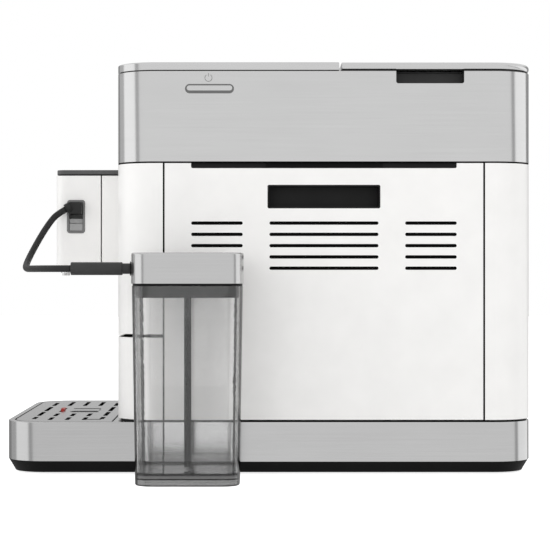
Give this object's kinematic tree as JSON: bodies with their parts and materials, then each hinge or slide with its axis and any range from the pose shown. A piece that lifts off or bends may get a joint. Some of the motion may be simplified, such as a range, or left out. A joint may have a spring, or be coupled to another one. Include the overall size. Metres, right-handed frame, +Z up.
{
  "type": "bean to cup coffee machine",
  "caption": "Upright coffee machine with brushed steel bands, white panels, a height adjustable spout head, pull-out drip drawer, lift-off water tank and a milk jug on a hose.",
  "frame": {"origin": "centre of the machine's footprint on the countertop", "axes": "+X towards the machine's right side and the milk jug, +Y to the back, +Z up; the spouts and drawer face -Y"},
  "size_m": [0.3774, 0.48, 0.373],
  "materials": {
    "steel": "horizontal brushed stainless steel",
    "white": "satin white moulded plastic",
    "black": "fine textured black plastic",
    "dark_grey": "satin dark grey plastic",
    "mid_grey": "satin grey plastic",
    "latch_grey": "satin light grey plastic",
    "rubber": "black rubber",
    "hose": "matt dark silicone",
    "sleeve": "matt dark plastic",
    "clear": "clear plastic",
    "hopper_smoke": "smoked transparent plastic",
    "black_glass": "glossy black glass over a display",
    "red": "red moulded plastic",
    "steel_part": "plain machined steel",
    "alloy": "cast aluminium",
    "nylon": "natural nylon",
    "board": "green circuit board",
    "brass": "brass"
  },
  "bodies": {
    "machine": {"feet": "rubber", "base_pan": "black", "case_screws": "steel_part", "base_band": "steel", "carcass": "black", "mains_inlet": "black", "front_shell": "white", "left_panel": "white", "rear_shell": "white", "top_band": "steel", "display_glass": "black_glass", "top_frame": "black", "front_top_cover": "steel", "bean_hopper": "hopper_smoke", "grinder_housing": "black", "upper_burr": "steel_part", "grinder_motor": "alloy", "brew_frame": "mid_grey", "brew_motor": "alloy", "brew_piston": "alloy", "water_pump": "alloy", "thermoblock": "alloy", "control_board": "board", "tank_seat": "black", "flow_meter": "nylon", "water_hoses": "nylon", "head_rail": "black", "hose_sleeve": "sleeve"},
    "spout_head": {"head_cover": "white", "head_back": "white", "head_cap": "dark_grey", "spout_nozzles": "steel_part", "port_frame": "mid_grey", "milk_frother": "mid_grey", "hose_plug": "hose", "milk_hose": "hose"},
    "latch": {"port_latch": "latch_grey"},
    "power_key": {"power_button": "steel"},
    "tank": {"water_tank": "clear", "tank_rim": "black"},
    "tank_cover": {"tank_lid": "steel"},
    "hopper_cover": {"hopper_lid": "steel"},
    "door": {"service_door": "white", "door_grip": "black"},
    "drawer": {"tray_band": "steel", "drip_tray": "black", "drawer_front": "white", "grounds_bin": "black"},
    "grille": {"drip_grille": "steel"},
    "float": {"tray_float": "red"},
    "jug": {"jug_body": "clear", "jug_insert": "dark_grey", "suction_tube": "dark_grey", "jug_lid": "steel"},
    "grinder_rotor": {"burr_gear": "nylon", "lower_burr": "steel_part"},
    "grinder_drive": {"grinder_pinion": "brass"},
    "spindle": {"brew_spindle": "steel_part"},
    "chamber": {"brew_chamber": "mid_grey"},
    "spindle_drive": {"brew_pinion": "nylon"}
  },
  "joints": [
    {"name": "spout_height", "type": "slide", "parent": "machine", "child": "spout_head", "axis": [0, 0, 1], "range_m": [-0.055, 0], "deforming": ["milk_hose"]},
    {"name": "latch_press", "type": "slide", "parent": "spout_head", "child": "latch", "axis": [-1, 0, 0], "range_m": [0, 0.0015], "stiffness_N_per_m": 400},
    {"name": "power_press", "type": "slide", "parent": "machine", "child": "power_key", "axis": [-1, 0, 0], "range_m": [0, 0.0015], "stiffness_N_per_m": 400},
    {"name": "tank_lift", "type": "slide", "parent": "machine", "child": "tank", "axis": [0, 0, 1], "range_m": [0, 0.09]},
    {"name": "tank_lid_hinge", "type": "hinge", "parent": "tank", "child": "tank_cover", "pos_m": [-0.1365, 0.145, 0.3695], "axis": [0, -1, 0], "range_deg": [0, 95]},
    {"name": "hopper_lid_hinge", "type": "hinge", "parent": "machine", "child": "hopper_cover", "pos_m": [0, 0.0415, 0.3695], "axis": [-1, 0, 0], "range_deg": [0, 95]},
    {"name": "door_pull", "type": "slide", "parent": "machine", "child": "door", "axis": [1, 0, 0], "range_m": [0, 0.012]},
    {"name": "drawer_pull", "type": "slide", "parent": "machine", "child": "drawer", "axis": [0, -1, 0], "range_m": [0, 0.2]},
    {"name": "grille_lift", "type": "slide", "parent": "drawer", "child": "grille", "axis": [0, 0, 1], "range_m": [0, 0.05]},
    {"name": "float_rise", "type": "slide", "parent": "drawer", "child": "float", "axis": [0, 0, 1], "range_m": [0, 0.006]},
    {"name": "jug_pull", "type": "slide", "parent": "machine", "child": "jug", "axis": [0, 1, 0], "range_m": [0, 0.12]},
    {"name": "grinder_turn", "type": "hinge", "parent": "machine", "child": "grinder_rotor", "pos_m": [-0.035, -0.012, 0.274], "axis": [0, 0, 1], "continuous": true},
    {"name": "grinder_pinion_turn", "type": "hinge", "parent": "machine", "child": "grinder_drive", "pos_m": [-0.035, -0.042, 0.274], "axis": [0, 0, 1], "continuous": true},
    {"name": "brew_spindle_turn", "type": "hinge", "parent": "machine", "child": "spindle", "pos_m": [0.072, 0.002, 0.18], "axis": [0, 0, 1], "range_deg": [0, 1080]},
    {"name": "brew_chamber_lift", "type": "slide", "parent": "machine", "child": "chamber", "axis": [0, 0, 1], "range_m": [0, 0.024]},
    {"name": "brew_pinion_turn", "type": "hinge", "parent": "machine", "child": "spindle_drive", "pos_m": [0.048, 0.002, 0.138], "axis": [0, 0, 1], "range_deg": [-3240, 0]}
  ],
  "couplings": [
    {"joint": "grinder_pinion_turn", "follows": "grinder_turn", "ratio": -3},
    {"joint": "brew_chamber_lift", "follows": "brew_spindle_turn", "m_per_rad": 0.0012732},
    {"joint": "brew_pinion_turn", "follows": "brew_spindle_turn", "ratio": -3}
  ]
}
